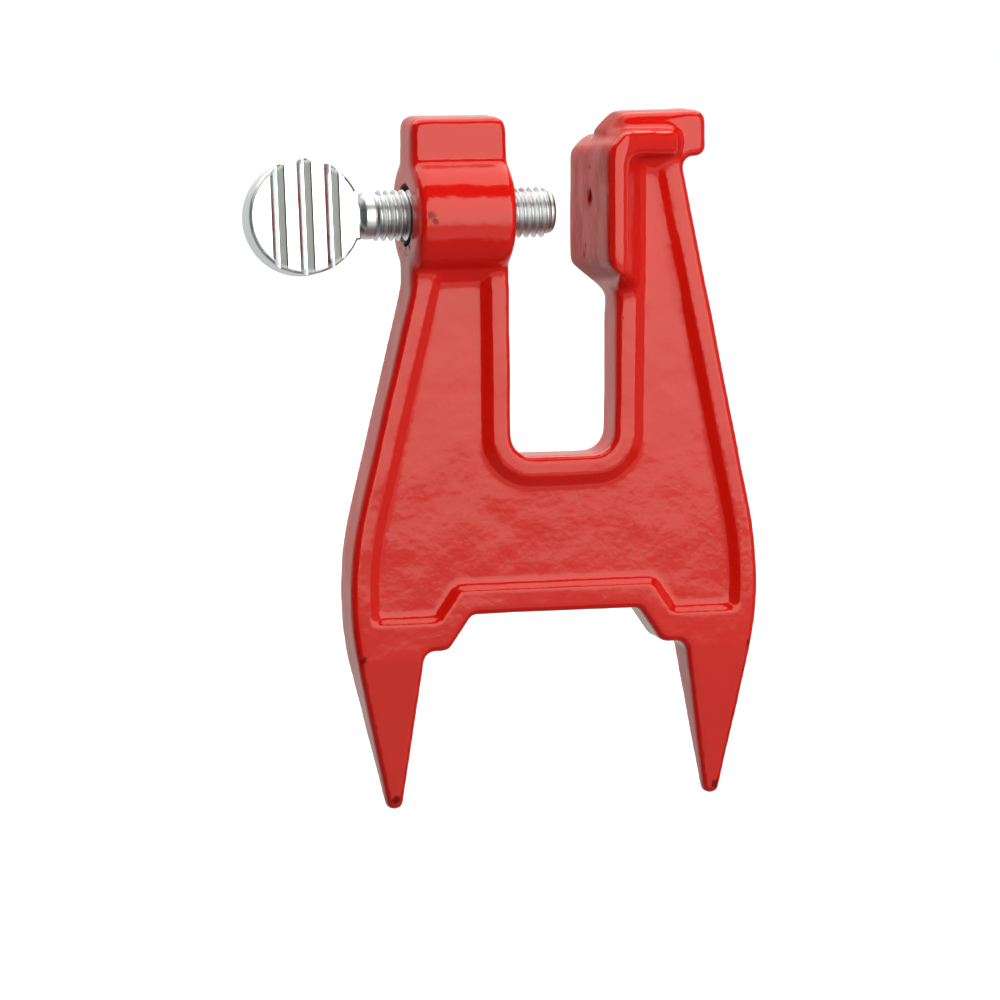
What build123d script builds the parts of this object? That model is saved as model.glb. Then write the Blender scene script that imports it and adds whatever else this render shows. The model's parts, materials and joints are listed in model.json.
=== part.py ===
from build123d import *
import math
import os

# Stump vise: a cast frame whose two spikes are driven into a tree stump, and a
# thumb screw that clamps a guide bar against the fixed jaw.  Millimetres.
# Origin: middle of the arch, level with the shoulders that meet the stump, on
# the casting's mid-plane.  +X from the thumb screw to the fixed jaw, +Z up.

# ---- casting: plate and outer outline -------------------------------------
body_thickness = 10.0       # front to back
edge_radius = 1.3           # rounding along the plate's front and back edges
spike_edge_radius = 1.1     # the same along the thinned spikes
top_z = 103.1               # strike faces above the shoulders
waist_x = 41.0              # widest reach of each arm's curve
waist_z = 12.0              # height of the widest place
waist_radius = 69.0         # curve that joins each arm to its spike
lean_left = 13.55           # degrees the outer edge of the left arm leans inwards
lean_right = 11.8           # degrees the outer edge of the right arm leans inwards

# ---- spikes and arch -------------------------------------------------------
spike_length = 31.0         # shoulder to tip
spike_pitch = 64.2          # between the two tips
spike_shift = 0.6           # middle of the tips, right of the arch's middle
spike_tip_width = 2.8
spike_tip_radius = 1.26
spike_tip_thickness = 3.2
spike_root_drop = 1.4       # thinning starts this far under the shoulder
arch_height = 6.9           # underside of the arch above the shoulders
arch_half_width = 16.9      # half of the underside's flat
shoulder_in_x = 21.6        # foot of the slanted step
shoulder_out_x = 26.3       # where the spike starts
arch_radius = 1.6
shoulder_radius = 2.2

# ---- throat slot -----------------------------------------------------------
slot_width = 21.85          # at the jaws
slot_centre_x = 1.475
slot_floor_z = 37.3
slot_draft = 0.6            # degrees on each side
slot_radius = 4.2

# ---- left jaw: head block, boss and tapped hole ----------------------------
screw_drop = 18.8           # axis of the tapped hole under the strike faces
boss_diameter = 23.0
boss_length = 19.55
boss_edge_radius = 1.8
head_corner_radius = 2.2
head_lean = 0.6             # how far the head's slot side leans back at the top
head_foot_drop = 33.1       # where the head's outer side turns into the arm, under the top
head_foot_radius = 2.0
thread_diameter = 10.0      # M10 x 1.5, right hand
thread_pitch = 1.5
thread_angle = 60.0
depth_per_pitch = 0.567
crest_allowance = 0.1       # plating and rolling leave the crests this far short
thread_clearance = 0.13     # running fit in the thick, painted casting
mouth_diameter = 12.4       # chipped-open mouth of the tapped hole, head side
mouth_depth = 2.6
exit_chamfer = 0.8          # at the hole's other end

# ---- right jaw: pad, gussets, hood and strike plate ------------------------
jaw_gap = 17.15             # boss face to pad face
pad_width = 28.6            # front to back
pad_tilt = 5.0              # degrees the pad's ends fall towards the back
pad_top_drop = 3.5          # top of the pad under the strike faces
pad_face_height = 25.2
pad_side_height = 26.6      # height of the pad's front and back sides
pad_keel_height = 32.2      # top to the lowest place, on the mid-plane
pad_side_depth = 3.4        # square side of the pad before the gusset slants in
gusset_foot_x = 17.2        # where the gusset meets the web
pad_edge_radius = 1.4       # rounding of the pad and hood
hood_end_x = 24.2
hood_depth = 5.0            # top to bottom of the hood
hood_nose = 1.9             # how far the hood's thin end stands off the plate
hook_end_x = 30.2           # right end of the strike plate
hook_drop = 8.9             # depth of the strike plate's overhang
hook_rise = 0.6             # how far the strike plate stands above the left head
hook_radius = 2.0
strike_start_x = 13.4       # left end of the strike plate's top

# ---- recess in both faces --------------------------------------------------
recess_depth = 1.4
recess_run = 2.2            # width of the sloping wall
foot_run = 1.5              # the same over the arch and the shoulders
rim_outer = 3.6             # flat left along the arms' outer edges
rim_slot = 3.7              # flat left round the throat slot
rim_arch = 4.7              # flat left over the arch
rim_shoulder = 5.6          # flat left over the shoulders
recess_left_drop = 29.6     # its top end in the left arm, under the strike faces
recess_right_drop = 8.8     # the same in the right arm
recess_corner_radius = 1.6

# ---- thumb screw -----------------------------------------------------------
screw_reach = 9.65          # threaded end past the boss in the rest position
shank_exposed = 9.7         # shank showing between boss and head
shank_plain = 3.4           # plain run-out under the head
shank_plain_diameter = 9.0
tip_length = 1.0            # plain chamfered point
tip_chamfer = 0.4
head_diameter = 22.2
head_offset = 10.65         # middle of the round head from the end of the neck
head_thickness = 6.8
head_turn = -9.0           # degrees the flat head is turned in the rest position
head_bevel = 0.8
neck_width = 9.4
neck_length = 1.6
neck_bevel = 1.0
neck_edge_bevel = 0.4
flank_angle = 47.0          # where the neck leaves the round head, from the axis
groove_count = 3
groove_pitch = 5.3
groove_width = 2.9
groove_floor = 0.5
groove_depth = 0.8

# ---- derived ---------------------------------------------------------------
half_thickness = body_thickness / 2
screw_z = top_z - screw_drop
pad_top_z = top_z - pad_top_drop
pad_face_bottom_z = pad_top_z - pad_face_height
pad_side_bottom_z = pad_top_z - pad_side_height
pad_keel_z = pad_top_z - pad_keel_height
recess_left_top_z = top_z - recess_left_drop
recess_right_top_z = top_z - recess_right_drop
spike_fall = (half_thickness - spike_tip_thickness / 2) / (spike_length - spike_root_drop)
slot_left_x = slot_centre_x - slot_width / 2
slot_right_x = slot_centre_x + slot_width / 2
head_left_x = slot_left_x - boss_length
pad_face_x = slot_left_x + jaw_gap
screw_end_x = slot_left_x + screw_reach
shank_root_x = head_left_x - shank_exposed
crest_radius = thread_diameter / 2 - crest_allowance
thread_depth = depth_per_pitch * thread_pitch
root_radius = crest_radius - thread_depth
bore_radius = thread_diameter / 2 - thread_pitch / 2
crest_flat = thread_pitch / 8
half_angle = math.radians(thread_angle / 2)

clear = 2.0                 # how far a cutting tool or a trimmed block runs past
seat = 0.1                  # how far a thread ridge sinks into what carries it
near = 0.01                 # tolerance for picking edges by their place


def edge_corner_x(lean):
    """Distance from the mid-plane to the corner that waist_radius rounds off."""
    return waist_x + waist_radius * (1 / math.cos(math.radians(lean)) - 1)


def arm_edge(z, lean, inset=0.0):
    """Distance of an arm's leaning outer edge from X = 0, moved in by inset."""
    slope = math.radians(lean)
    return edge_corner_x(lean) - (z - waist_z) * math.tan(slope) - inset / math.cos(slope)


def waist_centre(side, lean):
    """Centre of the arc that joins an arm's edge to its spike's edge."""
    tip = spike_pitch / 2 + side * spike_shift + spike_tip_width / 2
    slope = math.radians(lean)
    fall = math.atan2(edge_corner_x(lean) - tip, waist_z + spike_length)
    gap = waist_radius * (1 / math.cos(slope) - 1 / math.cos(fall))
    centre_z = waist_z - gap / (math.tan(slope) + math.tan(fall))
    return arm_edge(centre_z, lean, waist_radius), centre_z


def waist_point(side, lean, angle, inset):
    """Point on the waist's arc, moved in by inset, angle degrees above level."""
    centre_x, centre_z = waist_centre(side, lean)
    turn = math.radians(angle)
    reach = waist_radius - inset
    return side * (centre_x + reach * math.cos(turn)), centre_z + reach * math.sin(turn)


def waist_angle(side, lean, z, inset):
    """Angle above level of the waist's arc at height z."""
    return math.degrees(math.asin((z - waist_centre(side, lean)[1]) / (waist_radius - inset)))


def slot_wall(z, side):
    """X of the slot's left (-1) or right (+1) wall, drafted towards the floor."""
    draft = math.tan(math.radians(slot_draft))
    return slot_centre_x + side * (slot_width / 2 - (screw_z - z) * draft)


def step_x(z, inset):
    """Distance of the arch's slanted step from X = 0, moved up by inset."""
    run = shoulder_in_x - arch_half_width
    slant = math.hypot(run, arch_height)
    start_x = arch_half_width + inset * arch_height / slant
    start_z = arch_height + inset * run / slant
    return start_x + (start_z - z) * run / arch_height


def face_of(corners):
    """Closed flat face from (across, up, corner radius) points."""
    points = [(across, up) for across, up, _ in corners]
    radii = [radius for _, _, radius in corners]
    return make_face(FilletPolyline(*points, radius=radii, close=True))


def rounded(corners):
    """Closed face in the XZ plane from (x, z, corner radius) points."""
    return Plane.XZ * face_of(corners)


def prism(face):
    """Face in the XZ plane given the plate's thickness."""
    return extrude(face, amount=half_thickness, both=True)


def outline():
    """Outline of the plate, clockwise from the top of the left head."""
    hook_top = top_z + hook_rise
    hook_under = hook_top - hook_drop
    foot_z = top_z - head_foot_drop
    tips = {}
    for side in (-1, 1):
        tip_x = spike_shift + side * spike_pitch / 2
        reach = side * spike_tip_width / 2
        tips[side] = [
            (tip_x + reach, -spike_length, spike_tip_radius),
            (tip_x - reach, -spike_length, spike_tip_radius),
        ]
    return rounded([
        (head_left_x, top_z, head_corner_radius),
        (slot_left_x - head_lean, top_z, head_corner_radius),
        (slot_left_x, screw_z, 0),
        (slot_wall(slot_floor_z, -1), slot_floor_z, slot_radius),
        (slot_wall(slot_floor_z, 1), slot_floor_z, slot_radius),
        (slot_right_x, pad_top_z - hood_depth, 0),
        (strike_start_x - (hook_top - pad_top_z), pad_top_z, 0),
        (strike_start_x, hook_top, hook_radius),
        (hook_end_x, hook_top, hook_radius),
        (hook_end_x, hook_under, hook_radius),
        (arm_edge(hook_under, lean_right), hook_under, hook_radius),
        (edge_corner_x(lean_right), waist_z, waist_radius),
        *tips[1],
        (shoulder_out_x, 0, shoulder_radius),
        (shoulder_in_x, 0, shoulder_radius),
        (arch_half_width, arch_height, arch_radius),
        (-arch_half_width, arch_height, arch_radius),
        (-shoulder_in_x, 0, shoulder_radius),
        (-shoulder_out_x, 0, shoulder_radius),
        *reversed(tips[-1]),
        (-edge_corner_x(lean_left), waist_z, waist_radius),
        (-arm_edge(foot_z, lean_left), foot_z, head_foot_radius),
    ])


def waist_arc(side, lean, low_z, inset):
    """Arc along a waist from the leaning edge down to height low_z."""
    low = waist_angle(side, lean, low_z, inset)
    angles = (lean, (lean + low) / 2, low)
    return ThreePointArc(*(waist_point(side, lean, angle, inset) for angle in angles))


def recess_outline(inset):
    """Outline of the recess in the XZ plane, every rim widened by inset."""
    outer = rim_outer + inset
    slot = rim_slot + inset
    foot = inset * foot_run / recess_run
    arch = rim_arch + foot
    arch_z = arch_height + arch
    shoulder_z = rim_shoulder + foot
    left_top = recess_left_top_z - inset
    right_top = recess_right_top_z - inset
    floor_z = slot_floor_z - slot
    right_arc = waist_arc(1, lean_right, shoulder_z, outer)
    left_arc = waist_arc(-1, lean_left, shoulder_z, outer)
    slot_corners = [(slot_wall(floor_z, side) + side * slot, floor_z) for side in (-1, 1)]
    top = Polyline(
        left_arc @ 0,
        (-arm_edge(left_top, lean_left, outer), left_top),
        (slot_wall(left_top, -1) - slot, left_top),
        *slot_corners,
        (slot_wall(right_top, 1) + slot, right_top),
        (arm_edge(right_top, lean_right, outer), right_top),
        right_arc @ 0,
    )
    bottom = Polyline(
        right_arc @ 1,
        (step_x(shoulder_z, arch), shoulder_z),
        (step_x(arch_z, arch), arch_z),
        (-step_x(arch_z, arch), arch_z),
        (-step_x(shoulder_z, arch), shoulder_z),
        left_arc @ 1,
    )
    face = make_face([top, right_arc, bottom, left_arc])
    wide = [v for v in face.vertices() if is_at(v, slot_corners)]
    face = fillet(wide, slot_radius + slot)
    low = [v for v in face.vertices() if v.Y < arch_z + near]
    return Plane.XZ * fillet(low, recess_corner_radius)


def is_at(vertex, points):
    """True for a vertex that lies on one of the (across, up) points."""
    return any(math.hypot(vertex.X - across, vertex.Y - up) < near for across, up in points)


def recess(side):
    """Sloping-walled recess on the front (-1) or back (+1) face."""
    mouth = Pos(0, side * half_thickness, 0) * recess_outline(0)
    bed = Pos(0, side * (half_thickness - recess_depth), 0) * recess_outline(recess_run)
    return loft([mouth, bed], ruled=True)


def spike_thinning(side):
    """Wedge taken off the front (-1) or back (+1) of both spikes."""
    low = spike_length + clear
    low_y = half_thickness - spike_fall * (low - spike_root_drop)
    wedge = Polyline(
        (side * half_thickness, -spike_root_drop),
        (side * (half_thickness + clear), -spike_root_drop),
        (side * (half_thickness + clear), -low),
        (side * low_y, -low),
        close=True,
    )
    return extrude(Plane.YZ * make_face(wedge), amount=waist_x + clear, both=True)


def jaw():
    """Pad, gussets and hood of the fixed jaw as one block."""
    half = pad_width / 2
    web = half_thickness - recess_depth
    side_x = pad_face_x + pad_side_depth
    keel_run = (slot_right_x - pad_face_x) / (pad_face_bottom_z - pad_keel_z)
    keel_rise = (pad_side_bottom_z - pad_keel_z) / half
    deep = pad_keel_z - half / 2
    tilt = Pos(0, 0, screw_z) * Rot(-pad_tilt, 0, 0) * Pos(0, 0, -screw_z)
    soft = pad_edge_radius

    def from_above(far_x, far_y):
        """Pad seen from above, slanting in from its square sides to the far end."""
        plan = face_of([
            (pad_face_x, -half, soft), (side_x, -half, soft), (far_x, -far_y, 0),
            (far_x, far_y, 0), (side_x, half, soft), (pad_face_x, half, soft),
        ])
        return extrude(plan, amount=top_z + clear)

    def from_front(corners):
        """Pad seen from the front, its ends falling towards the back."""
        return tilt * extrude(Plane.XZ * face_of(corners), amount=pad_width, both=True)

    top_left = (pad_face_x - clear, pad_top_z - pad_side_depth - clear, 0)
    block = from_above(gusset_foot_x, web) & from_front([
        (pad_face_x - clear, pad_face_bottom_z + clear / keel_run, 0),
        top_left,
        (side_x, pad_top_z, soft),
        (hood_end_x, pad_top_z, 0),
        (hood_end_x, deep, 0),
        (pad_face_x + (pad_face_bottom_z - deep) * keel_run, deep, 0),
    ])
    nose = half_thickness + hood_nose
    taper = (half - nose) / (hood_end_x - side_x)
    hood = from_above(hood_end_x + clear, nose - clear * taper) & from_front([
        (pad_face_x - clear, pad_top_z - hood_depth, 0),
        top_left,
        (side_x, pad_top_z, soft),
        (hood_end_x, pad_top_z, soft),
        (hood_end_x, pad_top_z - hood_depth, soft),
    ])
    lid_y = half + clear
    lid_z = pad_keel_z + lid_y * keel_rise
    under = extrude(Plane.YZ * face_of([
        (-lid_y, lid_z, 0), (0, pad_keel_z, soft), (lid_y, lid_z, 0),
        (lid_y, top_z + clear, 0), (-lid_y, top_z + clear, 0),
    ]), amount=waist_x, both=True)
    return (block & under) + hood


def boss():
    """Round boss of the tapped hole, its ends softened."""
    blank = Pos(head_left_x, 0, screw_z) * Rot(0, 90, 0) * Cylinder(
        boss_diameter / 2, boss_length, align=(Align.CENTER, Align.CENTER, Align.MIN))
    return fillet(blank.edges().filter_by(GeomType.CIRCLE), boss_edge_radius)


def helix_ridge(start_x, turns, inner, outer, outer_flat):
    """Right-hand thread ridge round the screw axis, in step with start_x."""
    spread = (outer - inner) * math.tan(half_angle)
    profile = Plane.XZ * face_of([
        (inner, -outer_flat / 2 - spread, 0), (outer, -outer_flat / 2, 0),
        (outer, outer_flat / 2, 0), (inner, outer_flat / 2 + spread, 0),
    ])
    path = Helix(thread_pitch, turns * thread_pitch, inner)
    ridge = sweep(profile, path=path, is_frenet=True)
    return Pos(start_x, 0, screw_z) * Rot(0, 90, 0) * ridge


def turned(points):
    """Solid turned about the screw axis from (x, radius) points."""
    line = Polyline(*points, close=True)
    return Pos(0, 0, screw_z) * revolve(Plane.XZ * make_face(line), axis=Axis.X)


def tapped_hole():
    """Everything the M10 tap and its mouths take out of the boss."""
    mouth = mouth_diameter / 2
    far_x = head_left_x + boss_length
    exit_radius = bore_radius + exit_chamfer
    bore = turned([
        (head_left_x - clear, 0), (head_left_x - clear, mouth), (head_left_x, mouth),
        (head_left_x + mouth_depth, bore_radius), (far_x - exit_chamfer, bore_radius),
        (far_x, exit_radius), (far_x + clear, exit_radius), (far_x + clear, 0),
    ])
    turns = math.ceil(boss_length / thread_pitch) + 2
    widening = thread_clearance * (1 / math.cos(half_angle) - math.tan(half_angle))
    groove = helix_ridge(
        far_x - (turns - 1) * thread_pitch, turns, bore_radius - seat,
        crest_radius + thread_clearance, crest_flat + 2 * widening)
    return bore + groove


def vise_frame():
    """The casting: plate, spikes, boss and fixed jaw."""
    body = prism(outline())
    rims = [e for e in body.edges() if abs(e.center().Y) > half_thickness - near]
    body = fillet(rims, edge_radius)
    for side in (-1, 1):
        body -= spike_thinning(side)
    body = fillet([e for e in body.edges() if on_spike_face(e)], spike_edge_radius)
    body = body + boss() + jaw()
    for side in (-1, 1):
        body -= recess(side)
    return body - tapped_hole()


def on_spike_face(edge):
    """True for the long edges round a thinned spike face."""
    for share in (0.1, 0.5, 0.9):
        point = edge.position_at(share)
        depth = -spike_root_drop - point.Z
        if depth < near or abs(abs(point.Y) - half_thickness + depth * spike_fall) > near:
            return False
    return True


def thumb_head():
    """Flat round head with its neck, grooved on both faces for the fingers."""
    middle_x = shank_root_x - head_offset
    radius = head_diameter / 2
    flank = math.radians(flank_angle)
    leave_x = middle_x + radius * math.cos(flank)
    neck = face_of([
        (middle_x, -radius * math.sin(flank), 0),
        (leave_x, -radius * math.sin(flank), 0),
        (shank_root_x - neck_length, -neck_width / 2, neck_length),
        (shank_root_x, -neck_width / 2, 0),
        (shank_root_x, neck_width / 2, 0),
        (shank_root_x - neck_length, neck_width / 2, neck_length),
        (leave_x, radius * math.sin(flank), 0),
        (middle_x, radius * math.sin(flank), 0),
    ])
    disc = Pos(middle_x, 0, 0) * Rot(90, 0, 0) * Cylinder(radius, head_thickness)
    disc = chamfer(disc.edges().filter_by(GeomType.CIRCLE), head_bevel)
    web = extrude(Plane.XZ * neck, amount=head_thickness / 2, both=True)
    rims = [e for e in web.edges() if abs(e.center().Y) > head_thickness / 2 - near]
    sides = [e for e in rims if e.center().X > leave_x and abs(e.center().Z) > near]
    head = disc + chamfer(sides, neck_edge_bevel)
    for side in (-1, 1):
        for index in range(groove_count):
            at_x = middle_x + (index - (groove_count - 1) / 2) * groove_pitch
            head -= finger_groove(at_x, side)
    return Pos(0, 0, screw_z) * Rot(head_turn, 0, 0) * head


def finger_groove(at_x, side):
    """Sloping-walled groove across one face of the flat head."""
    face_y = side * head_thickness / 2
    wide = groove_width / 2
    narrow = groove_floor / 2
    slope = (wide - narrow) / groove_depth
    bed_y = face_y - side * groove_depth
    clear_y = face_y + side * groove_depth
    section = face_of([
        (at_x - wide - slope * groove_depth, clear_y, 0),
        (at_x - narrow, bed_y, 0),
        (at_x + narrow, bed_y, 0),
        (at_x + wide + slope * groove_depth, clear_y, 0),
    ])
    return extrude(section, amount=head_diameter, both=True)


def thumb_screw():
    """Threaded shank with its flat head, up to the plain point."""
    end_x = screw_end_x - tip_length
    thread_x = shank_root_x + shank_plain
    plain = shank_plain_diameter / 2
    core = turned([
        (shank_root_x - neck_length, 0), (shank_root_x - neck_length, neck_width / 2 - neck_bevel),
        (shank_root_x, plain), (thread_x, plain), (thread_x, root_radius), (end_x, root_radius), (end_x, 0),
    ])
    blank = turned([
        (thread_x - thread_pitch, 0), (thread_x - thread_pitch, root_radius),
        (thread_x - thread_pitch + thread_depth, crest_radius), (end_x - thread_depth, crest_radius),
        (end_x, root_radius), (end_x, 0),
    ])
    turns = math.ceil((end_x - thread_x) / thread_pitch) + 3
    start_x = slot_left_x + (math.floor((end_x - slot_left_x) / thread_pitch) + 1 - turns) * thread_pitch
    ridge = helix_ridge(start_x, turns, root_radius - seat, crest_radius, crest_flat)
    return core + (ridge & blank) + thumb_head()


def screw_tip():
    """Plain chamfered point of the screw, which presses on the work."""
    start_x = screw_end_x - tip_length
    return turned([
        (start_x, 0), (start_x, root_radius), (screw_end_x - tip_chamfer, root_radius),
        (screw_end_x, root_radius - tip_chamfer), (screw_end_x, 0),
    ])


os.makedirs("parts", exist_ok=True)
for build in (vise_frame, thumb_screw, screw_tip):
    export_step(build(), f"parts/{build.__name__}.step")
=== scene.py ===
import json
import math

import bpy
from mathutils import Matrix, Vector


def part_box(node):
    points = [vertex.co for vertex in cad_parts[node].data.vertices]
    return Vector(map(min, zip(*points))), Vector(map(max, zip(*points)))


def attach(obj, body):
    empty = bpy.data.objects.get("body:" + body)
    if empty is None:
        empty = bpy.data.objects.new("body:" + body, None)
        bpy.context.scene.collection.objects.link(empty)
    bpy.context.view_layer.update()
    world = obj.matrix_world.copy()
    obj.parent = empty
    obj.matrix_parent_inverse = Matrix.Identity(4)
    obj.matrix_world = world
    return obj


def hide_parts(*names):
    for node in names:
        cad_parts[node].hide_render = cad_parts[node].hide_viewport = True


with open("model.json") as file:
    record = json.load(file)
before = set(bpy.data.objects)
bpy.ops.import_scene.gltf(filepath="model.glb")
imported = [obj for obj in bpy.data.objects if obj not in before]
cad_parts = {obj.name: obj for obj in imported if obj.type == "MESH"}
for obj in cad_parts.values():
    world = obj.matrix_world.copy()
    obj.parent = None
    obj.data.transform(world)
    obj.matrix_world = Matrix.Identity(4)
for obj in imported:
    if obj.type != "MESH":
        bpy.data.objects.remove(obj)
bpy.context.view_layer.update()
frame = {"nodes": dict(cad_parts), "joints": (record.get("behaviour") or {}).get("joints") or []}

MM = 0.001
SCREW_AXIS_Z = frame["joints"][1]["pos_m"][2]
SCREW_FROM, SCREW_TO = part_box("thumb_screw")
POINT_FROM, POINT_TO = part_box("screw_tip")
FLOOR_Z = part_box("vise_frame")[0].z


# ---- working the mesh as by hand ------------------------------------------------
def only(piece):
    """Makes piece the one selected, active object."""
    bpy.ops.object.select_all(action="DESELECT")
    piece.select_set(True)
    bpy.context.view_layer.objects.active = piece


def added(operator, name, **settings):
    """Adds a primitive with its place in its mesh."""
    bpy.ops.object.select_all(action="DESELECT")
    operator(**settings)
    piece = bpy.context.object
    piece.name = name
    piece.data.name = name
    bpy.ops.object.transform_apply(location=True, rotation=True, scale=True)
    return piece


def modified(piece, kind, **settings):
    """Adds a modifier and applies it."""
    only(piece)
    bpy.ops.object.modifier_add(type=kind)
    modifier = piece.modifiers[-1]
    for key, value in settings.items():
        setattr(modifier, key, value)
    bpy.ops.object.modifier_apply(modifier=modifier.name)


def combined(piece, tool, operation):
    """Boolean of piece with tool, which is used up."""
    modified(piece, "BOOLEAN", operation=operation, object=tool, solver="EXACT")
    bpy.data.objects.remove(tool, do_unlink=True)
    return piece


def rounded(piece, test, offset, segments):
    """Rounds the edges whose two ends pass test."""
    only(piece)
    bpy.ops.object.mode_set(mode="EDIT")
    bpy.ops.mesh.select_mode(type="EDGE")
    bpy.ops.mesh.select_all(action="DESELECT")
    bpy.ops.object.mode_set(mode="OBJECT")
    points = piece.data.vertices
    for edge in piece.data.edges:
        edge.select = test(*(points[i].co for i in edge.vertices))
    bpy.ops.object.mode_set(mode="EDIT")
    bpy.ops.mesh.bevel(offset=offset, segments=segments, affect="EDGES")
    bpy.ops.object.mode_set(mode="OBJECT")


def cleaned(piece):
    """Merges doubles and turns every face outwards."""
    only(piece)
    bpy.ops.object.mode_set(mode="EDIT")
    bpy.ops.mesh.select_all(action="SELECT")
    bpy.ops.mesh.remove_doubles(threshold=0.002 * MM)
    bpy.ops.mesh.normals_make_consistent(inside=False)
    bpy.ops.object.mode_set(mode="OBJECT")
    return piece


def drawn(name, points):
    """Line drawn by extruding one vertex from point to point."""
    piece = added(bpy.ops.mesh.primitive_plane_add, name, size=MM, location=points[0])
    bpy.ops.object.mode_set(mode="EDIT")
    bpy.ops.mesh.select_mode(type="VERT")
    bpy.ops.mesh.select_all(action="SELECT")
    bpy.ops.mesh.merge(type="CENTER")
    for start, end in zip(points, points[1:]):
        bpy.ops.mesh.extrude_region_move(
            TRANSFORM_OT_translate={"value": Vector(end) - Vector(start)})
    bpy.ops.object.mode_set(mode="OBJECT")
    return piece


def slab(name, points, depth):
    """Closed outline drawn through points and extruded by the vector depth."""
    piece = drawn(name, points)
    bpy.ops.object.mode_set(mode="EDIT")
    bpy.ops.mesh.select_all(action="SELECT")
    bpy.ops.mesh.edge_face_add()
    bpy.ops.mesh.select_all(action="SELECT")
    bpy.ops.mesh.extrude_region_move(TRANSFORM_OT_translate={"value": depth})
    bpy.ops.object.mode_set(mode="OBJECT")
    return cleaned(piece)


def turned(name, profile):
    """Solid turned about the X axis from (x, radius) points that start and end on it."""
    piece = drawn(name, [(x, 0, radius) for x, radius in profile])
    bpy.ops.object.mode_set(mode="EDIT")
    bpy.ops.mesh.select_all(action="SELECT")
    bpy.ops.mesh.spin(steps=96, angle=math.tau, center=(0, 0, 0), axis=(1, 0, 0))
    bpy.ops.object.mode_set(mode="OBJECT")
    return cleaned(piece)


def beside(x, *steps):
    """Profile points for turned(), each given as its run from x and its radius, in mm."""
    return [(x + run * MM, radius * MM) for run, radius in steps]


def lifted(piece, turn=0.0):
    """Turns a piece made about the X axis and lifts it onto the screw's axis."""
    only(piece)
    piece.rotation_euler = (turn, 0, 0)
    piece.location = (0, 0, SCREW_AXIS_Z)
    bpy.ops.object.transform_apply(location=True, rotation=True, scale=False)


# ---- thumb screw -----------------------------------------------------------------
PITCH = 1.5 * MM
THREAD_FLANK = math.radians(30)
THREAD_ROUND = 0.06 * MM
THREAD_WELD = 0.001 * MM
CREST = 4.9 * MM
ROOT = 4.05 * MM
CREST_FLAT = 0.19 * MM
BOSS_START_X = -29.0 * MM
BOSS_END_X = -9.45 * MM

HEAD_RADIUS = 11.1 * MM
HEAD_THICKNESS = 6.8 * MM
HEAD_ROUND = 0.85 * MM
HEAD_TURN = math.radians(-9.0)
HEAD_MIDDLE_X = SCREW_FROM.x + HEAD_RADIUS
SHOULDER_ANGLE = math.radians(47)

NECK_END_X = HEAD_MIDDLE_X + 10.65 * MM
NECK_HALF = 4.7 * MM
NECK_RUN = 1.6 * MM
NECK_ROUND = 0.5 * MM
BARE_SHANK = 3.4 * MM

GROOVE_PITCH = 5.3 * MM
GROOVE_DEPTH = 0.8 * MM
GROOVE_HALF_TOP = 1.45 * MM
GROOVE_HALF_FLOOR = 0.25 * MM
GROOVE_ROUND = 0.12 * MM

# Two places count as level with each other when they differ by less than this.
LEVEL = 0.01 * MM


def threaded_rod(name, phase_x, low_x, high_x, root, crest, crest_flat):
    """Right-hand thread on a rod about the X axis that runs past low_x and high_x, both ends closed."""
    flank = (crest - root) * math.tan(THREAD_FLANK)
    soft = THREAD_ROUND
    first = math.floor((low_x - phase_x) / PITCH) - 1
    count = math.ceil((high_x - low_x) / PITCH) + 3
    middle = phase_x + first * PITCH
    half = crest_flat / 2
    profile = [
        (middle - PITCH / 2, root),
        (middle - half - flank - soft, root),
        (middle - half - flank + soft / 2, root + soft),
        (middle - half - soft / 2, crest - soft),
        (middle - half + soft, crest),
        (middle + half - soft, crest),
        (middle + half + soft / 2, crest - soft),
        (middle + half + flank - soft / 2, root + soft),
        (middle + half + flank + soft, root),
        (middle + PITCH / 2, root),
    ]
    piece = drawn(name, [(x, 0, -radius) for x, radius in profile])
    modified(piece, "SCREW", axis="X", angle=math.tau, screw_offset=PITCH, iterations=count,
             steps=64, render_steps=64, use_merge_vertices=True, merge_threshold=THREAD_WELD)
    bpy.ops.object.mode_set(mode="EDIT")
    bpy.ops.mesh.select_all(action="SELECT")
    bpy.ops.mesh.remove_doubles(threshold=THREAD_WELD)
    bpy.ops.mesh.select_all(action="DESELECT")
    bpy.ops.mesh.select_non_manifold(extend=False, use_wire=False, use_multi_face=False,
                                     use_non_contiguous=False, use_verts=False)
    bpy.ops.mesh.select_mode(type="EDGE")
    bpy.ops.mesh.edge_face_add()
    bpy.ops.object.mode_set(mode="OBJECT")
    return cleaned(piece)


def grooved_face(side):
    """Tool that cuts the three finger grooves into one face of the head."""
    face_y = side * HEAD_THICKNESS / 2
    deep = side * GROOVE_DEPTH
    soft = GROOVE_ROUND
    reach = 1.2 * HEAD_RADIUS
    tool = None
    for index in (-1, 0, 1):
        at_x = HEAD_MIDDLE_X + index * GROOVE_PITCH
        outline = (
            (at_x - 2 * GROOVE_HALF_TOP, face_y + deep),
            (at_x - GROOVE_HALF_TOP, face_y),
            (at_x - GROOVE_HALF_FLOOR - soft, face_y - deep + side * soft),
            (at_x - GROOVE_HALF_FLOOR + soft, face_y - deep),
            (at_x + GROOVE_HALF_FLOOR - soft, face_y - deep),
            (at_x + GROOVE_HALF_FLOOR + soft, face_y - deep + side * soft),
            (at_x + GROOVE_HALF_TOP, face_y),
            (at_x + 2 * GROOVE_HALF_TOP, face_y + deep),
        )
        groove = slab("groove", [(x, y, -reach) for x, y in outline], (0, 0, 2 * reach))
        tool = combined(tool, groove, "UNION") if tool else groove
    return tool


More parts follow.
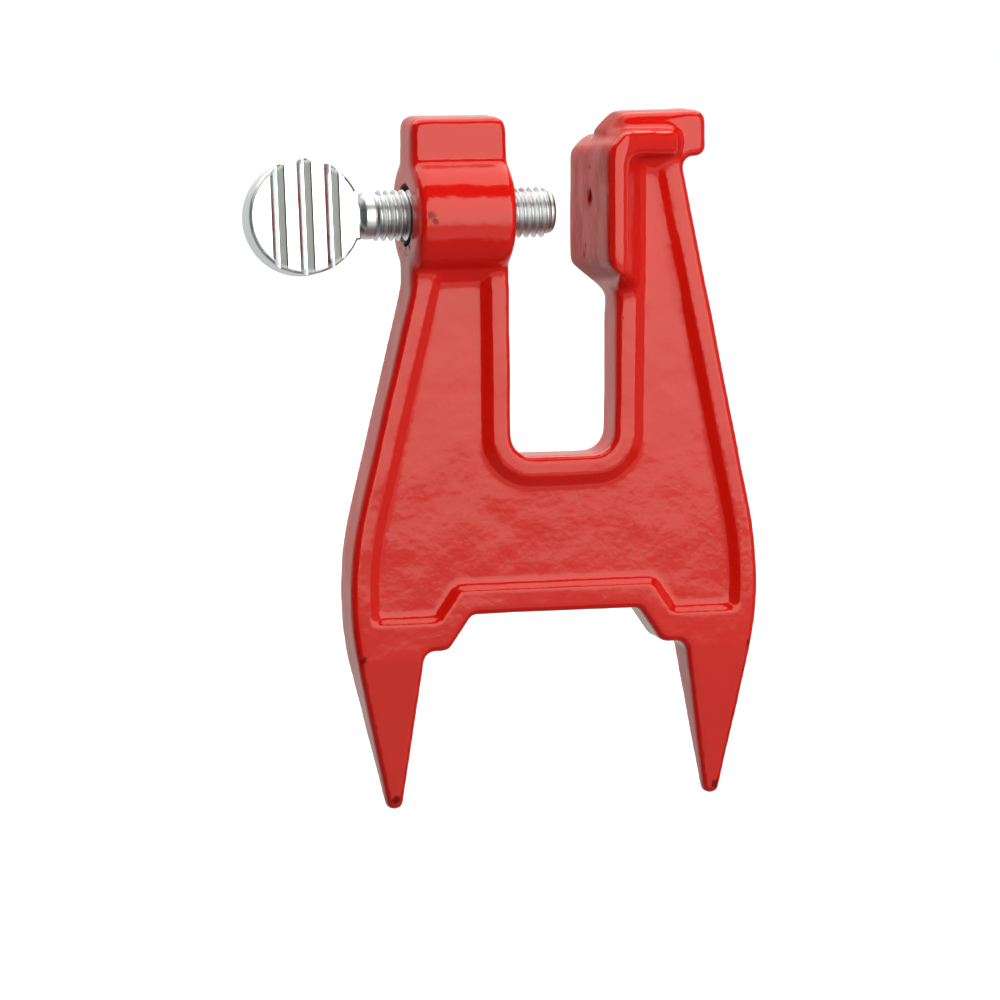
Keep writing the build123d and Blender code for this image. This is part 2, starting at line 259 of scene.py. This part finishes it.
def screw_head():
    """Flat round head with its neck and three grooves in each face."""
    leave_x = HEAD_MIDDLE_X + HEAD_RADIUS * math.cos(SHOULDER_ANGLE)
    leave_z = HEAD_RADIUS * math.sin(SHOULDER_ANGLE)
    head = added(
        bpy.ops.mesh.primitive_cylinder_add, "screw_head", vertices=144, radius=HEAD_RADIUS,
        depth=HEAD_THICKNESS, location=(HEAD_MIDDLE_X, 0, 0), rotation=(math.pi / 2, 0, 0))

    def on_rim(a, b):
        reach = min(math.hypot(p.x - HEAD_MIDDLE_X, p.z) for p in (a, b))
        return abs(a.y - b.y) < LEVEL and reach > 0.9 * HEAD_RADIUS

    def past_shoulder(a, b):
        return abs(a.y - b.y) < LEVEL and min(a.x, b.x) > leave_x - LEVEL

    rounded(head, on_rim, HEAD_ROUND, 6)
    outline = (
        (HEAD_MIDDLE_X, -leave_z), (leave_x, -leave_z),
        (NECK_END_X - NECK_RUN, -NECK_HALF), (NECK_END_X, -NECK_HALF),
        (NECK_END_X, NECK_HALF), (NECK_END_X - NECK_RUN, NECK_HALF),
        (leave_x, leave_z), (HEAD_MIDDLE_X, leave_z),
    )
    neck = slab("neck", [(x, -HEAD_THICKNESS / 2, z) for x, z in outline], (0, HEAD_THICKNESS, 0))
    rounded(neck, past_shoulder, NECK_ROUND, 4)
    combined(head, neck, "UNION")
    for side in (-1, 1):
        combined(head, grooved_face(side), "DIFFERENCE")
    return head


def thumb_screw():
    """The whole forged and rolled screw except its plain point."""
    thread_x = NECK_END_X + BARE_SHANK
    end_x = SCREW_TO.x
    depth = CREST - ROOT
    over = 0.3 * MM
    piece = screw_head()
    run_out = turned("run_out", [
        *beside(NECK_END_X, (-1.0, 0), (-1.0, 3.1), (-0.1, 3.2), (0.5, 3.9), (1.1, 4.4), (1.6, 4.5)),
        *beside(thread_x, (-0.6, 4.5), (-0.25, 4.35), (0.1, 4.0), (0.1, 0)),
    ])
    combined(piece, run_out, "UNION")
    rod = threaded_rod("rod", BOSS_END_X, thread_x - 1.0 * MM, end_x, ROOT, CREST, CREST_FLAT)
    blank = turned("blank", [
        (thread_x - 0.7 * MM, 0), (thread_x - 0.7 * MM, ROOT - 0.02 * MM), (thread_x + depth, CREST + over),
        (end_x - depth - over, CREST + over), (end_x, ROOT + 0.005 * MM), (end_x, 0),
    ])
    combined(rod, blank, "INTERSECT")
    combined(piece, rod, "UNION")
    only(piece)
    bpy.ops.object.shade_smooth_by_angle(angle=math.radians(14))
    lifted(piece, HEAD_TURN)
    piece.name = "thumb_screw_plated"
    return piece


def screw_point():
    """Plain chamfered point of the screw."""
    end = POINT_TO.x
    piece = turned("screw_point_plated", [
        (POINT_FROM.x, 0), (POINT_FROM.x, ROOT - 0.01 * MM), (end - 0.5 * MM, ROOT - 0.01 * MM),
        (end - 0.3 * MM, ROOT - 0.12 * MM), (end - 0.06 * MM, ROOT - 0.38 * MM),
        (end, ROOT - 0.5 * MM), (end, 0),
    ])
    lifted(piece)
    bpy.ops.object.shade_smooth_by_angle(angle=math.radians(40))
    return piece


# ---- casting ------------------------------------------------------------------------
TAP_CREST = 5.03 * MM
TAP_ROOT = 4.25 * MM
TAP_FLAT = 0.36 * MM
PLUG_RADIUS = 6.6 * MM
PLUG_SHORT = 0.1 * MM

BOSS_REACH = 14.5 * MM
BOSS_TOP_Z = SCREW_AXIS_Z + 14 * MM
JAW_LOW_Z = 64 * MM
JAW_FROM_X = 5 * MM
JAW_TO_X = 25.5 * MM
STRIKE_LOW_Z = 96.5 * MM

VOXEL = 0.5 * MM
BOSS_SMOOTHING = 16
JAW_SMOOTHING = 44
STRIKE_SMOOTHING = 14
SWELL_SIZE = 9 * MM
SWELL_HEIGHT = 0.22 * MM


def tap():
    """The tapped hole as a solid tool: thread, chipped mouth and exit chamfer."""
    tool = threaded_rod("tap", BOSS_END_X, BOSS_START_X - 1.5 * MM, BOSS_END_X + 1.5 * MM,
                        TAP_ROOT, TAP_CREST, TAP_FLAT)
    blank = turned("blank", beside(BOSS_START_X, (-1, 0), (-1, 6)) + beside(BOSS_END_X, (1, 6), (1, 0)))
    combined(tool, blank, "INTERSECT")
    mouth = turned("mouth", beside(
        BOSS_START_X, (-0.9, 0), (-0.9, 6.3), (0.4, 5.95), (1.6, 5.0), (2.6, 4.2), (2.6, 0)))
    combined(tool, mouth, "UNION")
    exit_cone = turned("exit_cone", beside(
        BOSS_END_X, (-0.8, 0), (-0.8, 4.25), (0, 5.05), (0.9, 5.4), (0.9, 0)))
    combined(tool, exit_cone, "UNION")
    lifted(tool)
    return tool


def cast_texture(name, size):
    """Cloud texture for the waviness of the cast and painted skin."""
    texture = bpy.data.textures.new(name, "CLOUDS")
    texture.noise_scale = size
    texture.noise_depth = 1
    return texture


def softened(piece, name, share, iterations):
    """Smooths the vertices where share of their place is above 0, fully where it is 1 or more."""
    group = piece.vertex_groups.new(name=name)
    for vertex in piece.data.vertices:
        weight = share(vertex.co)
        if weight > 0:
            group.add([vertex.index], min(weight, 1.0), "REPLACE")
    modified(piece, "SMOOTH", factor=0.5, iterations=iterations, vertex_group=name)
    piece.vertex_groups.clear()


def near_boss(co):
    """Share of softening on the boss and close beside it."""
    reach = math.hypot(co.y, co.z - SCREW_AXIS_Z)
    return 1.0 if reach < BOSS_REACH and co.x < BOSS_END_X + 1 * MM and co.z < BOSS_TOP_Z else 0.0


def near_jaw(co):
    """Share of softening on the jaw pad, its hood and its gussets."""
    rise = (co.z - JAW_LOW_Z) / (3 * MM)
    return min(rise, (co.x - JAW_FROM_X) / MM, (JAW_TO_X - co.x) / MM, 1.0)


def near_strike_plates(co):
    """Share of softening on the two hammered tops."""
    return min((co.z - STRIKE_LOW_Z) / (2 * MM), 1.0)


def casting():
    """The painted casting: the CAD shape with soft edges, a slightly wavy skin and a threaded hole."""
    source = frame["nodes"]["vise_frame"]
    piece = source.copy()
    piece.data = source.data.copy()
    bpy.context.scene.collection.objects.link(piece)
    piece.parent = None
    piece.name = "painted_casting"
    piece.data.name = "painted_casting"
    piece.data.materials.clear()
    cleaned(piece)
    plug = added(
        bpy.ops.mesh.primitive_cylinder_add, "plug", vertices=48, radius=PLUG_RADIUS,
        depth=BOSS_END_X - BOSS_START_X - PLUG_SHORT,
        location=((BOSS_END_X + BOSS_START_X) / 2, 0, SCREW_AXIS_Z), rotation=(0, math.pi / 2, 0))
    combined(piece, plug, "UNION")
    voxel, smoothing = ((VOXEL, 1.0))
    modified(piece, "REMESH", mode="VOXEL", voxel_size=voxel, use_smooth_shade=True)
    modified(piece, "SMOOTH", factor=0.5, iterations=3)
    softened(piece, "boss_soft", near_boss, int(BOSS_SMOOTHING * smoothing))
    softened(piece, "jaw_soft", near_jaw, int(JAW_SMOOTHING * smoothing))
    softened(piece, "strike_soft", near_strike_plates, int(STRIKE_SMOOTHING * smoothing))
    modified(piece, "DISPLACE", texture=cast_texture("swell", SWELL_SIZE), strength=SWELL_HEIGHT,
             mid_level=0.5, texture_coords="LOCAL")
    combined(piece, tap(), "DIFFERENCE")
    only(piece)
    bpy.ops.object.shade_smooth_by_angle(angle=math.radians(42))
    return piece


# ---- shader expressions ----------------------------------------------------------------
class Value:
    """A node's output, with arithmetic that adds the Math nodes it needs."""

    def __init__(self, nodes, socket):
        self.nodes = nodes
        self.socket = socket

    def math(self, operation, *others):
        return self.nodes.node("Math", self, *others, settings={"operation": operation})

    def __add__(self, other):
        return self.math("ADD", other)

    def __mul__(self, other):
        return self.math("MULTIPLY", other)

    def __sub__(self, other):
        return self.math("SUBTRACT", other)

    def __rsub__(self, other):
        return self.nodes.node("Math", other, self, settings={"operation": "SUBTRACT"})

    def __truediv__(self, other):
        return self.math("DIVIDE", other)

    def __pow__(self, other):
        return self.math("POWER", other)

    __radd__ = __add__


class Nodes:
    """A node tree under construction."""

    def __init__(self, tree):
        self.tree = tree
        self.tree.nodes.clear()

    def joined(self, socket, value):
        """Links an input to value where that is a node's output, or sets it to value."""
        if isinstance(value, Value):
            self.tree.links.new(value.socket, socket)
        else:
            socket.default_value = value

    def node(self, kind, *values, settings=(), output=0, **named):
        """Adds a node, sets it up, then gives its inputs values or links."""
        node = self.tree.nodes.new("ShaderNode" + kind)
        for key, value in dict(settings).items():
            setattr(node, key, value)
        for socket, value in zip(node.inputs, values):
            self.joined(socket, value)
        for key, value in named.items():
            self.joined(node.inputs[key.replace("_", " ")], value)
        return Value(self, node.outputs[output]) if node.outputs else None

    def along(self, axis, place):
        """One coordinate of a place or direction."""
        return self.node("SeparateXYZ", place, output=axis)

    def rising(self, value, low, high):
        """0 below low, 1 above high, eased between."""
        return self.node("MapRange", Value=value, From_Min=low, From_Max=high,
                         settings={"interpolation_type": "SMOOTHSTEP"})

    def falling(self, value, low, high):
        """1 below low, 0 above high, eased between."""
        return 1 - self.rising(value, low, high)


class Finish(Nodes):
    """A material under construction."""

    def __init__(self, name):
        self.material = bpy.data.materials.new(name)
        self.material.use_nodes = True
        super().__init__(self.material.node_tree)
        self.place = self.node("TexCoord", output="Object")
        self.x, self.y, self.z = (self.along(axis, self.place) for axis in "XYZ")

    def noise(self, size, detail, where=None):
        """Noise from 0 to 1 whose lumps are about size across."""
        return self.node("TexNoise", Vector=where or self.place, Scale=1 / size, Detail=detail)

    def mix(self, share, first, second):
        """Colour that goes from first to second as share goes from 0 to 1."""
        node = self.tree.nodes.new("ShaderNodeMix")
        node.data_type = "RGBA"
        for socket, value in zip((node.inputs[0], node.inputs[6], node.inputs[7]), (share, first, second)):
            self.joined(socket, value)
        return Value(self, node.outputs[2])

    def bump(self, height, distance):
        """Normal that height, from 0 to 1, raises by distance."""
        return self.node("Bump", Distance=distance, Height=height)

    def from_screw_axis(self):
        """Height of a place above the screw's axis, and its distance from that axis."""
        up = self.z - SCREW_AXIS_Z
        return up, (self.y * self.y + up * up) ** 0.5

    def ended(self, surface):
        """The material, with surface as what it shows."""
        self.node("OutputMaterial", surface)
        return self.material


# ---- red enamel ---------------------------------------------------------------------------
FRESH_RED = (0.62, 0.0064, 0.0030, 1)
WARM_RED = (0.68, 0.0084, 0.0038, 1)
SCUFFED_RED = (0.16, 0.006, 0.004, 1)
# Rubbed paint on the jaw: dull from real wear, and its darker red is painted shade.
RUBBED_AND_SHADED_RED = (0.43, 0.010, 0.006, 1)
RUBBED_AND_SHADED_SCUFF = (0.20, 0.005, 0.003, 1)
PIT_RED = (0.22, 0.006, 0.004, 1)
# Near-black inside the tapped hole: partly the real bare iron, partly painted shade in the hole.
BARE_IRON_AND_SHADE_DARK = (0.035, 0.006, 0.005, 1)
CHIP_DARK = (0.05, 0.004, 0.003, 1)
JAW_FACE_X = 7.7 * MM
JAW_HALF_DEPTH = 13.4 * MM

# Marks in the paint: place in mm, reach in mm, how dark.
MARKS = (
    ((-26.7, -11.2, 85.0), 1.1, 0.5),
    ((-26.2, -11.2, 83.9), 0.8, 0.5),
    ((7.7, -1.2, 87.1), 2.1, 1.0),
    ((7.7, -1.2, 92.9), 0.5, 0.8),
    ((7.7, 2.6, 75.6), 0.6, 0.5),
    ((7.7, 1.6, 77.6), 0.5, 0.5),
    ((25.4, -2.7, 56.8), 0.28, 0.7),
    ((24.6, -2.7, 48.2), 0.24, 0.6),
    ((13.2, -5.0, 63.8), 0.3, 0.6),
    ((-38.7, -4.6, -0.9), 0.9, 0.6),
    ((39.2, -4.6, -0.9), 0.8, 0.6),
    ((-31.6, -1.7, -29.2), 1.3, 0.9),
    ((33.3, -1.7, -29.2), 1.1, 0.8),
    ((-39.3, 0.5, 20.3), 0.5, 0.5),
)


def marked(finish, wander):
    """Share of chipped and scuffed paint at a place."""
    total = 0.0
    for (x, y, z), reach, dark in MARKS:
        gap = finish.node("VectorMath", finish.place, (x * MM, y * MM, z * MM),
                          settings={"operation": "DISTANCE"}, output="Value")
        total = total + finish.falling(gap + wander, 0.4 * reach * MM, reach * MM) * dark
    return total.math("MINIMUM", 1.0)


def bare_iron_and_shade_in_mouth(finish, reach, wander):
    """Share of dark bare iron in the tapped hole and its mouth, painted darker still as the shade inside
    the hole.
    """
    in_the_boss = finish.falling(finish.x, BOSS_END_X + 0.05 * MM, BOSS_END_X + 0.15 * MM)
    return finish.falling(reach + wander, 5.6 * MM, 6.4 * MM) * in_the_boss


def chipped_mouth(finish, reach):
    """Share of paint flaked off below the mouth of the tapped hole."""
    flakes = finish.rising(finish.noise(1.5 * MM, 2), 0.51, 0.56)
    below = finish.falling(finish.z, SCREW_AXIS_Z - 5.8 * MM, SCREW_AXIS_Z - 3.8 * MM)
    near_hole = finish.falling(reach, 7.4 * MM, 8.2 * MM)
    on_mouth_side = finish.falling(finish.x, BOSS_START_X + 1.5 * MM, BOSS_START_X + 2.0 * MM)
    return flakes * below * near_hole * on_mouth_side


def rubbed_and_shaded_jaw(finish, drips):
    """Share of dull, rubbed paint whose darker red is also painted shade: the jaw's face, the facet under
    it and the lip above it.
    """
    between_sides = finish.falling(finish.y.math("ABSOLUTE"), JAW_HALF_DEPTH - 0.8 * MM, JAW_HALF_DEPTH)
    inside = between_sides * finish.rising(finish.x, JAW_FACE_X - 0.7 * MM, JAW_FACE_X - 0.3 * MM)
    face = finish.falling(finish.x, JAW_FACE_X + 0.5 * MM, JAW_FACE_X + 1.2 * MM)
    face = face * finish.rising(finish.z, 66 * MM, 69 * MM)
    facet = finish.falling(finish.z, 73.5 * MM, 75.5 * MM)
    facet = facet * finish.falling(finish.x, JAW_FACE_X + 1.7 * MM, JAW_FACE_X + 2.9 * MM)
    facet = facet * finish.rising(finish.z, 65.5 * MM, 66.5 * MM)
    lip = finish.rising(finish.z, 98.3 * MM, 99.6 * MM)
    lip = lip * finish.falling(finish.x, JAW_FACE_X + 5.3 * MM, JAW_FACE_X + 6.3 * MM)
    streaked = face * (0.55 + finish.rising(drips, 0.42, 0.6) * 0.35)
    return inside * streaked.math("MAXIMUM", facet.math("MAXIMUM", lip * 0.9))


def red_enamel():
    """Thick glossy red paint over cast iron, chipped round the tapped hole, with painted shade in the
    tapped hole and on the rubbed jaw.
    """
    finish = Finish("red_enamel")
    wander = (finish.noise(1.1 * MM, 3) - 0.5) * 1.6 * MM
    _, reach = finish.from_screw_axis()
    marks = marked(finish, wander)
    # Bare iron in the hole, darkened as painted shade.
    bare_iron_and_shade = bare_iron_and_shade_in_mouth(finish, reach, wander)
    chips = chipped_mouth(finish, reach)
    base = finish.mix(finish.noise(14 * MM, 3), FRESH_RED, WARM_RED)
    base = finish.mix(marks, base, SCUFFED_RED)
    # Painted shade in the tapped hole, over the bare iron colour.
    base = finish.mix(bare_iron_and_shade, base, BARE_IRON_AND_SHADE_DARK)
    base = finish.mix(chips, base, CHIP_DARK)
    dimples = finish.noise(1.5 * MM, 2) * 0.75 + finish.noise(3.2 * MM, 1) * 0.9
    sunk = dimples - marks * 1.2 - chips * 2.5
    normal = finish.bump(sunk, 0.06 * MM)
    gloss = finish.node("BsdfPrincipled", Base_Color=base, Roughness=0.12 + bare_iron_and_shade * 0.5 + chips * 0.5,
                        Normal=normal)
    stretched = finish.node("VectorMath", finish.place, (1, 1, 0.45), settings={"operation": "MULTIPLY"})
    drips = finish.noise(5 * MM, 3, where=stretched)
    # Darker red of the rubbed paint: wear and painted shade together.
    worn_and_shaded = finish.mix(marks, RUBBED_AND_SHADED_RED, RUBBED_AND_SHADED_SCUFF)
    rubbed_and_shaded = finish.node("BsdfPrincipled", Base_Color=worn_and_shaded, Roughness=0.42, Specular_IOR_Level=0.22,
                         Normal=finish.bump(sunk + drips * 2, 0.12 * MM))
    pitted = finish.node("BsdfPrincipled", Base_Color=PIT_RED, Roughness=0.6, Specular_IOR_Level=0.0,
                         Normal=normal)
    # The rubbed layer carries the painted shade on the jaw face, the facet under it and the lip.
    skin = finish.node("MixShader", rubbed_and_shaded_jaw(finish, drips), gloss, rubbed_and_shaded)
    return finish.ended(finish.node("MixShader", marks, skin, pitted))


# ---- bright zinc --------------------------------------------------------------------------
ZINC_GREY = (0.74, 0.78, 0.84, 1)
ZINC_PALE = (0.86, 0.89, 0.94, 1)
ROLLED_ZINC = (0.80, 0.84, 0.90, 1)
# Darker zinc in the thread roots: painted shade.
THREAD_ROOT_SHADE = (0.32, 0.34, 0.36, 1)
# Groove flanks: the left ones painted darker as shade, the right ones painted pale as a highlight.
SHADED_FLANK_ZINC = (0.50, 0.58, 0.65, 1)
LIT_FLANK_ZINC = (0.96, 0.98, 1.0, 1)


def bright_zinc():
    """Bright zinc plate, duller on the rolled thread, the head's rim and the grooves' right flanks, with
    painted shade in the thread roots and on the grooves' left flanks and a painted highlight on their right
    flanks.
    """
    finish = Finish("bright_zinc")
    cloud = finish.noise(3.0 * MM, 3)
    up, reach = finish.from_screw_axis()
    rolled = finish.rising(finish.x, NECK_END_X - 0.2 * MM, NECK_END_X + 0.1 * MM)
    # The thread roots, to be painted darker as shade.
    root = rolled * finish.falling(reach, 4.1 * MM, 4.75 * MM)
    cos, sin = math.cos(HEAD_TURN), math.sin(HEAD_TURN)
    out = (finish.y * cos + up * sin).math("ABSOLUTE")
    rise = up * cos - finish.y * sin
    middle = finish.x - HEAD_MIDDLE_X
    radius = (rise * rise + middle * middle) ** 0.5
    disc = finish.falling(radius, HEAD_RADIUS - 0.4 * MM, HEAD_RADIUS - 0.2 * MM)
    before_neck = finish.falling(middle, 0.7 * HEAD_RADIUS, 0.72 * HEAD_RADIUS)
    rim = finish.rising(radius, HEAD_RADIUS - 1.0 * MM, HEAD_RADIUS - 0.8 * MM) * before_neck
    groove = finish.falling(out, HEAD_THICKNESS / 2 - 0.2 * MM, HEAD_THICKNESS / 2 - 0.05 * MM) * disc
    across_groove = (middle / GROOVE_PITCH + 10.5).math("FRACT") - 0.5
    # Left flanks get painted shade, right flanks a painted highlight.
    left = groove * finish.rising(across_groove * -1, 0.02, 0.06)
    right = groove * finish.rising(across_groove, 0.02, 0.06)
    base = finish.mix(cloud, ZINC_GREY, ZINC_PALE)
    base = finish.mix(rolled * 0.75, base, ROLLED_ZINC)
    # Painted shade in the thread roots.
    base = finish.mix(root * 0.6, base, THREAD_ROOT_SHADE)
    # Painted shade on the left flanks, then a painted highlight on the right flanks.
    base = finish.mix(left, base, SHADED_FLANK_ZINC)
    base = finish.mix(right, base, LIT_FLANK_ZINC)
    rough = 0.14 + cloud * 0.06 + rolled * 0.18 + right * 0.38 + rim * 0.22
    return finish.ended(finish.node(
        "BsdfPrincipled", Base_Color=base, Metallic=1.0, Roughness=rough,
        Normal=finish.bump(finish.noise(0.8 * MM, 2), 0.006 * MM)))


# ---- studio ---------------------------------------------------------------------------
AIM = Vector((0, 0, 0.036))
CAMERA_AZIMUTH = -16.4
CAMERA_ELEVATION = 7.0
CAMERA_DISTANCE = 1.1
SENSOR_MM = 36
LENS_MM = 203.9
SHIFT_X = -0.05
SHIFT_Y = -0.04

LAMP_COLOUR = (1.0, 0.99, 0.86)
WORLD_COLOUR = (1, 1, 0.94, 1)
STRIP_AZIMUTH = 16
STRIP_DISTANCE = 0.42
STRIP_WIDTH = 0.62
TOP_ELEVATION = 103
# Strips of the front softbox: top and bottom height in metres, radiance. They don't overlap.
FRONT_STRIPS = (
    (0.375, 0.010, 2.7), (0.010, -0.022, 2.3), (-0.022, -0.036, 2.05), (-0.036, -0.046, 1.15),
    (-0.046, -0.060, 0.85), (-0.060, -0.32, 0.68),
)


def towards(azimuth, elevation):
    """Direction from the object, azimuth 0 in front of it and elevation upwards, degrees."""
    a, e = math.radians(azimuth), math.radians(elevation)
    return Vector((math.sin(a) * math.cos(e), -math.cos(a) * math.cos(e), math.sin(e)))


def add_camera():
    """The camera, in front of the object, to the left and a little above."""
    data = bpy.data.cameras.new("camera")
    data.sensor_width = SENSOR_MM
    data.lens = LENS_MM
    data.shift_x = SHIFT_X
    data.shift_y = SHIFT_Y
    data.clip_end = 50
    camera = bpy.data.objects.new("camera", data)
    bpy.context.scene.collection.objects.link(camera)
    out = towards(CAMERA_AZIMUTH, CAMERA_ELEVATION)
    camera.location = AIM + out * CAMERA_DISTANCE
    camera.rotation_euler = out.to_track_quat("Z", "Y").to_euler()
    bpy.context.scene.camera = camera


def softbox(name, place, target, width, height, radiance):
    """Rectangular light at place that faces target."""
    data = bpy.data.lights.new(name, "AREA")
    data.shape = "RECTANGLE"
    data.size = width
    data.size_y = height
    data.energy = radiance * math.pi * width * height
    data.color = LAMP_COLOUR
    light = bpy.data.objects.new(name, data)
    bpy.context.scene.collection.objects.link(light)
    light.location = place
    light.rotation_euler = (place - target).to_track_quat("Z", "Y").to_euler()
    light.visible_camera = False


def surround():
    """Soft surround: bright behind the object, nearly dark in front, some light from the sides and below.

    Each light starts and is full at the two values given, which are parts of a unit direction.
    """
    world = bpy.data.worlds.new("surround")
    bpy.context.scene.world = world
    world.use_nodes = True
    nodes = Nodes(world.node_tree)
    sight = nodes.node("TexCoord", output="Generated")
    side, away, up = (nodes.along(axis, sight) for axis in "XYZ")
    down = up * -1
    behind = nodes.rising(away, 0.0, 0.7)
    below = nodes.rising(down, 0.38, 0.55)
    level = nodes.falling(down.math("ABSOLUTE"), 0.3, 0.45)
    right = nodes.rising(side, 0.6, 0.8) * level
    left = nodes.rising(side * -1, 0.9, 0.98) * level
    glow = 0.015 + behind * 0.7 + (below * 0.15 + right * 0.26 + left * 0.2) * (1 - behind)
    nodes.node("OutputWorld", nodes.node("Background", WORLD_COLOUR, glow))


def glowing(piece, name, grey, roughness, strength):
    """Gives a stage piece a white glow and keeps it out of reflections and bounced light."""
    finish = Finish(name)
    piece.data.materials.append(finish.ended(finish.node(
        "BsdfPrincipled", Base_Color=(grey, grey, grey, 1), Roughness=roughness,
        Emission_Color=(1, 1, 1, 1), Emission_Strength=strength)))
    piece.visible_glossy = False
    piece.visible_diffuse = False


def studio():
    """Pale floor and backdrop, a striped front softbox, a top softbox and a soft surround."""
    floor = added(bpy.ops.mesh.primitive_plane_add, "floor", size=12, location=(0, 0, FLOOR_Z))
    glowing(floor, "pale_floor", grey=0.3, roughness=0.9, strength=0.94)
    dome = added(bpy.ops.mesh.primitive_uv_sphere_add, "backdrop", radius=2.2, location=AIM)
    glowing(dome, "pale_backdrop", grey=0.0, roughness=1.0, strength=1.02)
    dome.visible_shadow = False
    for high, low, radiance in FRONT_STRIPS:
        middle = Vector((0, 0, (low + high) / 2))
        place = middle + towards(STRIP_AZIMUTH, 0) * STRIP_DISTANCE
        softbox("front_softbox", place, middle, width=STRIP_WIDTH, height=high - low, radiance=radiance)
    softbox("top_softbox", AIM + towards(0, TOP_ELEVATION), AIM, width=1.8, height=1.7, radiance=2.3)
    surround()
    bpy.context.scene.view_settings.view_transform = "Standard"


# ---- making -----------------------------------------------------------------------------
add_camera()
studio()
paint = red_enamel()
zinc = bright_zinc()
screw = thumb_screw()
screw.data.materials.clear()
screw.data.materials.append(zinc)
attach(screw, "screw")
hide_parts("thumb_screw")
point = screw_point()
point.data.materials.append(zinc)
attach(point, "point")
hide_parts("screw_tip")
body = casting()
body.data.materials.clear()
body.data.materials.append(paint)
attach(body, "frame")
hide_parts("vise_frame")
